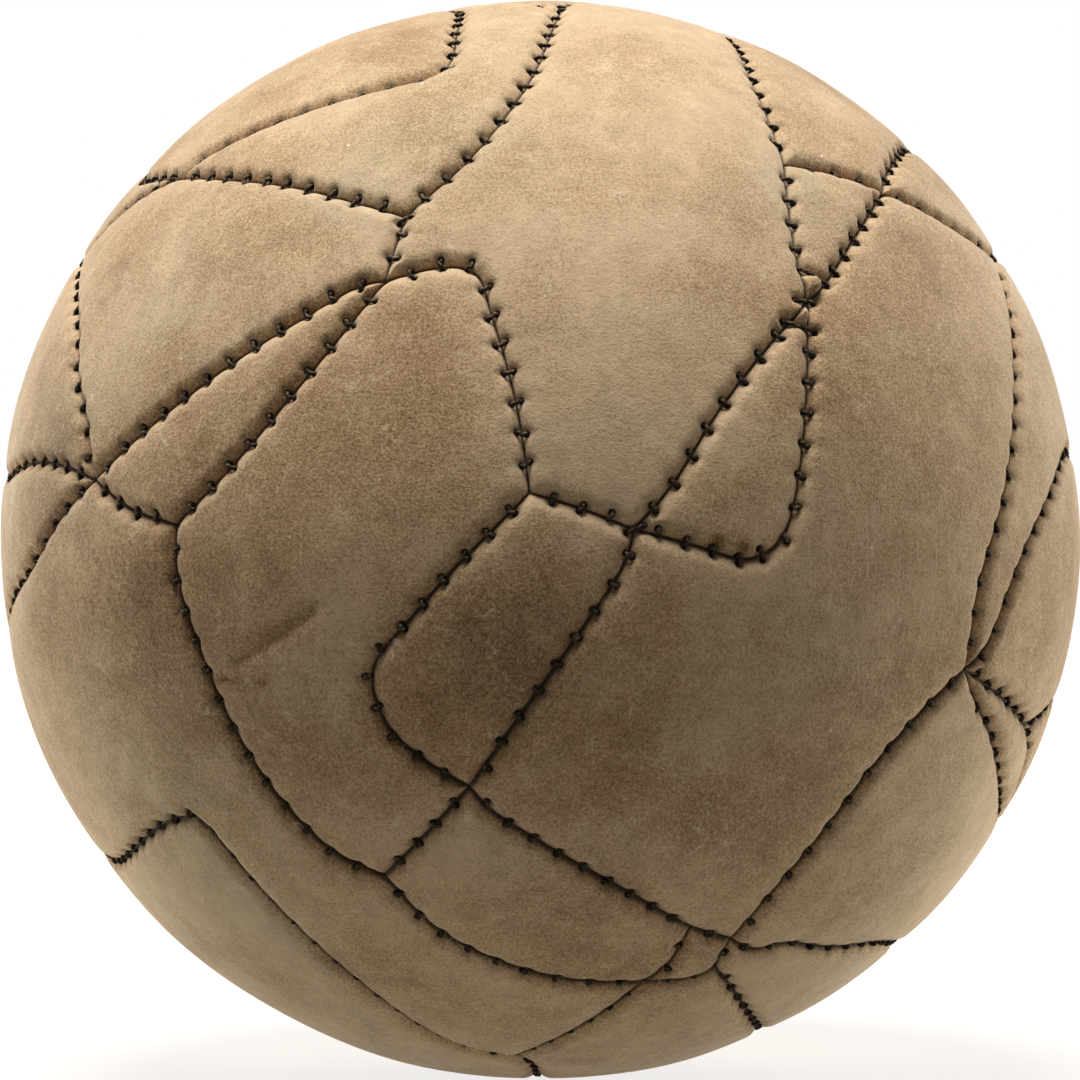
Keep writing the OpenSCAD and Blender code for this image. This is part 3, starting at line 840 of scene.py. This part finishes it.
def nubuck_leather():
    """Used, sanded cowhide: matt, blotchy tan with a nap, pale on rubbed edges, dark at seams and holes."""
    material, tree = new_material("nubuck_leather")
    place = add(tree, "ShaderNodeTexCoord").outputs["Object"]
    seam, hole, soiled_and_shaded, fading, scuffing = (
        add(tree, "ShaderNodeAttribute", attribute_name=name).outputs["Fac"]
        for name in ("seam_mm", "hole_mm", "soiling_and_shade", "fading", "scuffing")
    )

    # The hide's blotches, the clouds in its nap, the nap's fibres and the grain, by size in mm. Fibres are
    # drawn coarser than they are, so that they show.
    blotch, cloud, nap, grain = (
        add(
            tree,
            "ShaderNodeTexNoise",
            {"Vector": place, "Scale": per_mm(size), "Detail": detail, "Roughness": rough},
        ).outputs["Fac"]
        for size, detail, rough in [(30, 6.0, 0.62), (5, 5.0, 0.7), (0.45, 2.0, 0.6), (1.2, 3.0, 0.6)]
    )

    # Hide colour: blotches and fine fibres, paler along the edges, darker in the stains and in the painted
    # shade of seams and folds, and paler in the painted highlight on edges that face up
    rubbed = add(
        tree,
        "ShaderNodeMapRange",
        {"Value": seam, "From Min": 1.0, "From Max": 9.0, "To Min": -0.315, "To Max": -0.395},
    )
    clean = add(tree, "ShaderNodeMath", {0: blotch, 1: rubbed.outputs[0]}, operation="ADD")
    level = add(tree, "ShaderNodeMath", {0: clean.outputs[0], 1: soiled_and_shaded}, operation="SUBTRACT")
    fibre = add(tree, "ShaderNodeMath", {0: nap, 1: 1.15, 2: level.outputs[0]}, operation="MULTIPLY_ADD")
    tan = add(tree, "ShaderNodeValToRGB", {"Fac": fibre.outputs[0]})
    stops = tan.color_ramp.elements
    stops[0].position, stops[0].color = 0.1, linear("#614a33")
    stops[1].position, stops[1].color = 0.85, linear("#d4b691")
    for position, colour in [(0.35, "#8d6c4a"), (0.6, "#b6946d")]:
        stops.new(position).color = linear(colour)

    # Clouds where the nap was brushed, and greyer fields where the tan has faded
    shade = add(
        tree,
        "ShaderNodeMapRange",
        {"Value": cloud, "From Min": 0.3, "From Max": 0.7, "To Min": 0.86, "To Max": 1.12},
    )
    brushed = add(
        tree,
        "ShaderNodeVectorMath",
        {0: tan.outputs["Color"], "Scale": shade.outputs[0]},
        operation="SCALE",
    )
    field = add(tree, "ShaderNodeTexNoise", {"Vector": place, "Scale": per_mm(45), "Detail": 3.0})
    uneven = add(
        tree,
        "ShaderNodeMapRange",
        {"Value": field.outputs["Fac"], "From Min": 0.5, "From Max": 0.68, "To Min": 0.0, "To Max": 0.2},
    )
    faded = add(tree, "ShaderNodeMath", {0: uneven.outputs[0], 1: fading}, operation="ADD", use_clamp=True)
    toned = add(
        tree,
        "ShaderNodeMix",
        {"Factor": faded.outputs[0], "A": brushed.outputs[0], "B": linear("#f4fcff")},
        data_type="RGBA",
        blend_type="MULTIPLY",
    )

    # Dirt held in the grain, most where the leather is stained and where the painted shade of seams and folds
    # lies
    pits = add(tree, "ShaderNodeMapRange", {"Value": grain, "From Min": 0.5, "From Max": 0.68})
    held = add(
        tree,
        "ShaderNodeMapRange",
        {"Value": soiled_and_shaded, "From Min": -0.05, "From Max": 0.25, "To Min": 0.1, "To Max": 0.5},
    )
    pitted = add(tree, "ShaderNodeMath", {0: pits.outputs[0], 1: held.outputs[0]}, operation="MULTIPLY")
    dirt_and_shade = add(
        tree,
        "ShaderNodeMix",
        {"Factor": pitted.outputs[0], "A": toned.outputs["Result"], "B": linear("#948472")},
        data_type="RGBA",
        blend_type="MULTIPLY",
    )

    # Smudges round the stitches, then grime and painted shade in the seams, and painted shade in the needle
    # holes
    beside_hole = add(
        tree,
        "ShaderNodeMapRange",
        {"Value": hole, "From Min": 0.6, "From Max": 2.4, "To Min": 0.3, "To Max": 0.0},
        interpolation_type="SMOOTHSTEP",
    )
    patchy = add(tree, "ShaderNodeMapRange", {"Value": cloud, "From Min": 0.42, "From Max": 0.62})
    smudged = add(
        tree,
        "ShaderNodeMath",
        {0: beside_hole.outputs[0], 1: patchy.outputs[0]},
        operation="MULTIPLY",
    )
    smudge = add(
        tree,
        "ShaderNodeMix",
        {"Factor": smudged.outputs[0], "A": dirt_and_shade.outputs["Result"], "B": linear("#4f4335")},
        data_type="RGBA",
    )
    # Grime and painted shade in the seam valley, dark brown
    seam_grime_and_shade_mask = add(
        tree,
        "ShaderNodeMapRange",
        {"Value": seam, "From Min": 0.02, "From Max": 0.4, "To Min": 0.9, "To Max": 0.0},
        interpolation_type="SMOOTHSTEP",
    )
    seam_grime_and_shade = add(
        tree,
        "ShaderNodeMix",
        {"Factor": seam_grime_and_shade_mask.outputs[0], "A": smudge.outputs["Result"], "B": linear("#241a11")},
        data_type="RGBA",
    )
    # Painted shade in the needle holes, near black
    hole_shade_mask = add(
        tree,
        "ShaderNodeMapRange",
        {"Value": hole, "From Min": 0.55, "From Max": 0.8, "To Min": 1.0, "To Max": 0.0},
        interpolation_type="SMOOTHSTEP",
    )
    hole_shade = add(
        tree,
        "ShaderNodeMix",
        {"Factor": hole_shade_mask.outputs[0], "A": seam_grime_and_shade.outputs["Result"], "B": linear("#0d0905")},
        data_type="RGBA",
    )

    # Pale specks up to 0.6 mm across, in one of every few 9 mm cells
    cell = add(tree, "ShaderNodeTexVoronoi", {"Vector": place, "Scale": per_mm(9)})
    speck_at = add(
        tree,
        "ShaderNodeMapRange",
        {
            "Value": cell.outputs["Distance"],
            "From Min": 0.025,
            "From Max": 0.045,
            "To Min": 1.0,
            "To Max": 0.0,
        },
    )
    drawn = add(tree, "ShaderNodeSeparateColor", {"Color": cell.outputs["Color"]})
    picked = add(tree, "ShaderNodeMath", {0: drawn.outputs["Red"], 1: 0.72}, operation="GREATER_THAN")
    speck = add(tree, "ShaderNodeMath", {0: speck_at.outputs[0], 1: picked.outputs[0]}, operation="MULTIPLY")
    specked = add(
        tree,
        "ShaderNodeMix",
        {"Factor": speck.outputs[0], "A": hole_shade.outputs["Result"], "B": linear("#e9dfcb")},
        data_type="RGBA",
    )

    # Faint upright scratches, half a millimetre wide and a centimetre or two long
    streak_scale = (per_mm(0.5), per_mm(0.5), per_mm(15))
    drawn_out = add(tree, "ShaderNodeMapping", {"Vector": place, "Scale": streak_scale})
    streak = add(tree, "ShaderNodeTexNoise", {"Vector": drawn_out.outputs[0], "Scale": 1.0, "Detail": 1.0})
    scratch_at = add(
        tree,
        "ShaderNodeMapRange",
        {"Value": streak.outputs["Fac"], "From Min": 0.59, "From Max": 0.68, "To Min": 0.0, "To Max": 0.7},
    )
    scratch = add(tree, "ShaderNodeMath", {0: scratch_at.outputs[0], 1: scuffing}, operation="MULTIPLY")

    # Pale hairs of raised fibre, a fifth of a millimetre wide and a few millimetres long
    curl = add(
        tree,
        "ShaderNodeTexNoise",
        {"Vector": place, "Scale": per_mm(7), "Detail": 2.0, "Distortion": 0.6},
    )
    off_curl = add(tree, "ShaderNodeMath", {0: curl.outputs["Fac"], 1: 0.5}, operation="SUBTRACT")
    beside_curl = add(tree, "ShaderNodeMath", {0: off_curl.outputs[0]}, operation="ABSOLUTE")
    hair_at = add(
        tree,
        "ShaderNodeMapRange",
        {
            "Value": beside_curl.outputs[0],
            "From Min": 0.003,
            "From Max": 0.012,
            "To Min": 0.55,
            "To Max": 0.0,
        },
    )
    loose = add(tree, "ShaderNodeMapRange", {"Value": cloud, "From Min": 0.5, "From Max": 0.58})
    hair = add(tree, "ShaderNodeMath", {0: hair_at.outputs[0], 1: loose.outputs[0]}, operation="MULTIPLY")
    marks = add(tree, "ShaderNodeMath", {0: scratch.outputs[0], 1: hair.outputs[0]}, operation="MAXIMUM")
    scratched = add(
        tree,
        "ShaderNodeMix",
        {"Factor": marks.outputs[0], "A": specked.outputs["Result"], "B": linear("#dccbae")},
        data_type="RGBA",
    )

    # Grain and fibres in relief, and fibre ends that catch the light at grazing angles
    rise = add(tree, "ShaderNodeMath", {0: grain, 1: 0.9, 2: nap}, operation="MULTIPLY_ADD")
    bump = add(tree, "ShaderNodeBump", {"Height": rise.outputs[0], "Strength": 0.9, "Distance": 0.14 * MM})
    shader = add(
        tree,
        "ShaderNodeBsdfPrincipled",
        {
            "Base Color": scratched.outputs["Result"],
            "Roughness": 0.9,
            "Specular IOR Level": 0.2,
            "Sheen Weight": 0.4,
            "Sheen Roughness": 0.45,
            "Sheen Tint": linear("#e8dcc8"),
            "Normal": bump.outputs[0],
        },
    )
    add(tree, "ShaderNodeOutputMaterial", {"Surface": shader.outputs[0]})
    return material


def waxed_linen():
    """Twisted linen drawn through dark wax: dark brown and satin, with pale dust and a painted highlight on ply
    crests, more on those that face up.
    """
    material, tree = new_material("waxed_linen_thread")
    place = add(tree, "ShaderNodeTexCoord").outputs["Object"]
    crest = add(tree, "ShaderNodeAttribute", attribute_name="ply_crest").outputs["Fac"]
    dust = add(tree, "ShaderNodeTexNoise", {"Vector": place, "Scale": per_mm(0.8), "Detail": 3.0})
    # Paler in the dust and on ply crests, where the paleness is a painted highlight
    dust_and_crest_highlight = add(tree, "ShaderNodeMath", {0: crest, 1: 0.16, 2: dust.outputs["Fac"]}, operation="MULTIPLY_ADD")
    # Paler still where the thread faces up: a painted highlight from the light above
    facing = add(tree, "ShaderNodeNewGeometry").outputs["Normal"]
    upward = add(tree, "ShaderNodeSeparateXYZ", {"Vector": facing}).outputs["Z"]
    dust_and_highlight = add(tree, "ShaderNodeMath", {0: upward, 1: 0.12, 2: dust_and_crest_highlight.outputs[0]}, operation="MULTIPLY_ADD")
    colour = add(tree, "ShaderNodeValToRGB", {"Fac": dust_and_highlight.outputs[0]})
    colour.color_ramp.elements[0].position = 0.5
    colour.color_ramp.elements[0].color = linear("#140d07")
    colour.color_ramp.elements[1].position = 0.77
    colour.color_ramp.elements[1].color = linear("#85745a")
    bump = add(tree, "ShaderNodeBump", {"Height": dust.outputs["Fac"], "Strength": 0.4, "Distance": 0.1 * MM})
    shader = add(
        tree,
        "ShaderNodeBsdfPrincipled",
        {
            "Base Color": colour.outputs["Color"],
            "Roughness": 0.6,
            "Specular IOR Level": 0.1,
            "Normal": bump.outputs[0],
        },
    )
    add(tree, "ShaderNodeOutputMaterial", {"Surface": shader.outputs[0]})
    return material


def cotton_lining():
    """Unbleached cotton canvas: a pale, matt plain weave with slubs."""
    material, tree = new_material("cotton_canvas")
    place = add(tree, "ShaderNodeTexCoord").outputs["Object"]
    weave = add(tree, "ShaderNodeTexChecker", {"Vector": place, "Scale": per_mm(0.8)})
    slub = add(tree, "ShaderNodeTexNoise", {"Vector": place, "Scale": per_mm(4), "Detail": 4.0})
    colour = add(
        tree,
        "ShaderNodeMix",
        {"Factor": slub.outputs["Fac"], "A": linear("#b9ad95"), "B": linear("#dcd2bd")},
        data_type="RGBA",
    )
    bump = add(
        tree,
        "ShaderNodeBump",
        {"Height": weave.outputs["Fac"], "Strength": 0.5, "Distance": 0.1 * MM},
    )
    shader = add(
        tree,
        "ShaderNodeBsdfPrincipled",
        {"Base Color": colour.outputs["Result"], "Roughness": 0.9, "Normal": bump.outputs[0]},
    )
    add(tree, "ShaderNodeOutputMaterial", {"Surface": shader.outputs[0]})
    return material


def butyl_rubber():
    """Moulded butyl rubber: near black and matt, with a bloom of pale dust."""
    material, tree = new_material("butyl_rubber")
    place = add(tree, "ShaderNodeTexCoord").outputs["Object"]
    bloom = add(tree, "ShaderNodeTexNoise", {"Vector": place, "Scale": per_mm(5), "Detail": 6.0})
    pores = add(tree, "ShaderNodeTexNoise", {"Vector": place, "Scale": per_mm(0.4), "Detail": 2.0})
    colour = add(
        tree,
        "ShaderNodeMix",
        {"Factor": bloom.outputs["Fac"], "A": linear("#1d1a18"), "B": linear("#4b4540")},
        data_type="RGBA",
    )
    bump = add(
        tree,
        "ShaderNodeBump",
        {"Height": pores.outputs["Fac"], "Strength": 0.4, "Distance": 0.08 * MM},
    )
    shader = add(
        tree,
        "ShaderNodeBsdfPrincipled",
        {"Base Color": colour.outputs["Result"], "Roughness": 0.7, "Normal": bump.outputs[0]},
    )
    add(tree, "ShaderNodeOutputMaterial", {"Surface": shader.outputs[0]})
    return material


# The ball

leather = nubuck_leather()
for node in LEATHER_NODES:
    leather_panel(node, leather)
linen = waxed_linen()
tied = {"thread_front": front_ties, "thread_back": turned(front_ties)}
for rows in sewing:
    paths = stitch_paths(rows)
    if rows.name in tied:
        paths = np.concatenate([paths, tie_paths(tied[rows.name])])
    sewn_thread(rows.name, paths, linen)
for names, material in [(LINING_NODES, cotton_lining()), (RUBBER_NODES, butyl_rubber())]:
    for name in names:
        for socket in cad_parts[name].material_slots:
            socket.material = material


# Studio: a white floor and surround, a broad light overhead and weaker light from the sides

CAMERA_DISTANCE = 8 * BALL_R * MM
SENSOR = 36.0
FLOOR_SIZE = 12.0

# Soft lights, each with its place and width in metres and its power in watts
LIGHTS = [
    ("overhead", (-0.14, -0.18, 1.3), 0.9, 26),
    ("rim_right", (1.2, 0.6, 0.1), 0.7, 7.2),
    ("rim_left", (-1.2, 0.6, 0.2), 0.7, 3.8),
]


def seen_directly(tree):
    """1 for rays that show a surface to the eye, straight or through gloss and glass."""
    path = add(tree, "ShaderNodeLightPath")
    gloss = add(
        tree,
        "ShaderNodeMath",
        {0: path.outputs["Is Camera Ray"], 1: path.outputs["Is Glossy Ray"]},
        operation="MAXIMUM",
    )
    glass = add(
        tree,
        "ShaderNodeMath",
        {0: gloss.outputs[0], 1: path.outputs["Is Transmission Ray"]},
        operation="MAXIMUM",
    )
    return glass.outputs[0]


def studio_floor(level):
    """A floor that looks white, shows the ball's shadow, and throws light up, most from behind the ball."""
    bpy.ops.mesh.primitive_plane_add(size=FLOOR_SIZE, location=(0, 0, level))
    floor = bpy.context.object
    floor.name = "studio_floor"
    material, tree = new_material("white_studio_floor")
    paint = add(tree, "ShaderNodeBsdfDiffuse", {"Color": linear("#94918b")})
    place = add(tree, "ShaderNodeTexCoord").outputs["Object"]
    away = add(tree, "ShaderNodeVectorMath", {0: place}, operation="LENGTH")
    white = add(
        tree,
        "ShaderNodeMapRange",
        {"Value": away.outputs["Value"], "From Min": 0.2, "From Max": 1.2, "To Min": 0.78, "To Max": 1.0},
    )
    glow = add(tree, "ShaderNodeEmission", {"Color": linear("#ffffff"), "Strength": white.outputs[0]})
    seen = add(tree, "ShaderNodeAddShader", {0: paint.outputs[0], 1: glow.outputs[0]})
    way = add(tree, "ShaderNodeSeparateXYZ", {"Vector": place})
    aside = add(tree, "ShaderNodeMath", {0: way.outputs["X"]}, operation="ABSOLUTE")
    back = add(
        tree,
        "ShaderNodeMath",
        {0: aside.outputs[0], 1: 0.8, 2: way.outputs["Y"]},
        operation="MULTIPLY_ADD",
    )
    lit = add(
        tree,
        "ShaderNodeMapRange",
        {"Value": back.outputs[0], "From Min": 0.03, "From Max": 0.33, "To Min": 0.36, "To Max": 4.2},
    )
    near = add(
        tree,
        "ShaderNodeMapRange",
        {"Value": away.outputs["Value"], "From Min": 0.25, "From Max": 0.6, "To Min": 1.0, "To Max": 0.05},
    )
    thrown = add(tree, "ShaderNodeMath", {0: lit.outputs[0], 1: near.outputs[0]}, operation="MULTIPLY")
    bounce = add(tree, "ShaderNodeEmission", {"Color": linear("#fffef5"), "Strength": thrown.outputs[0]})
    both = add(
        tree,
        "ShaderNodeMixShader",
        {0: seen_directly(tree), 1: bounce.outputs[0], 2: seen.outputs[0]},
    )
    add(tree, "ShaderNodeOutputMaterial", {"Surface": both.outputs[0]})
    floor.data.materials.append(material)
    floor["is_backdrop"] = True


def studio_world():
    world = bpy.data.worlds.new("white_studio")
    bpy.context.scene.world = world
    world.use_nodes = True
    tree = world.node_tree
    tree.nodes.clear()
    way = add(tree, "ShaderNodeSeparateXYZ", {"Vector": add(tree, "ShaderNodeTexCoord").outputs["Generated"]})
    behind = add(
        tree,
        "ShaderNodeMapRange",
        {"Value": way.outputs["Y"], "From Min": -0.3, "From Max": 1.0, "To Min": 0.085, "To Max": 0.43},
    )
    light = add(tree, "ShaderNodeBackground", {"Color": linear("#ffffff"), "Strength": behind.outputs[0]})
    white = add(tree, "ShaderNodeBackground", {"Color": linear("#ffffff"), "Strength": 1.0})
    both = add(
        tree,
        "ShaderNodeMixShader",
        {0: seen_directly(tree), 1: light.outputs[0], 2: white.outputs[0]},
    )
    add(tree, "ShaderNodeOutputWorld", {"Surface": both.outputs[0]})


def soft_light(name, place, size, power):
    lamp = bpy.data.lights.new(name, "AREA")
    lamp.shape = "DISK"
    lamp.size = size
    lamp.energy = power
    holder = bpy.data.objects.new(name, lamp)
    holder.location = place
    holder.rotation_euler = (-Vector(place)).to_track_quat("-Z", "Y").to_euler()
    bpy.context.scene.collection.objects.link(holder)


def camera():
    data = bpy.data.cameras.new("camera")
    data.sensor_width = SENSOR
    half_angle = math.asin(BALL_R * MM / CAMERA_DISTANCE)
    data.lens = SENSOR / 2 / math.tan(half_angle)
    holder = bpy.data.objects.new("camera", data)
    holder.location = (0, -CAMERA_DISTANCE, 0)
    holder.rotation_euler = (math.pi / 2, 0, 0)
    bpy.context.scene.collection.objects.link(holder)
    bpy.context.scene.camera = holder


studio_floor(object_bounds()[0][2])
studio_world()
for light in LIGHTS:
    soft_light(*light)
camera()
bpy.context.scene.view_settings.view_transform = "Standard"
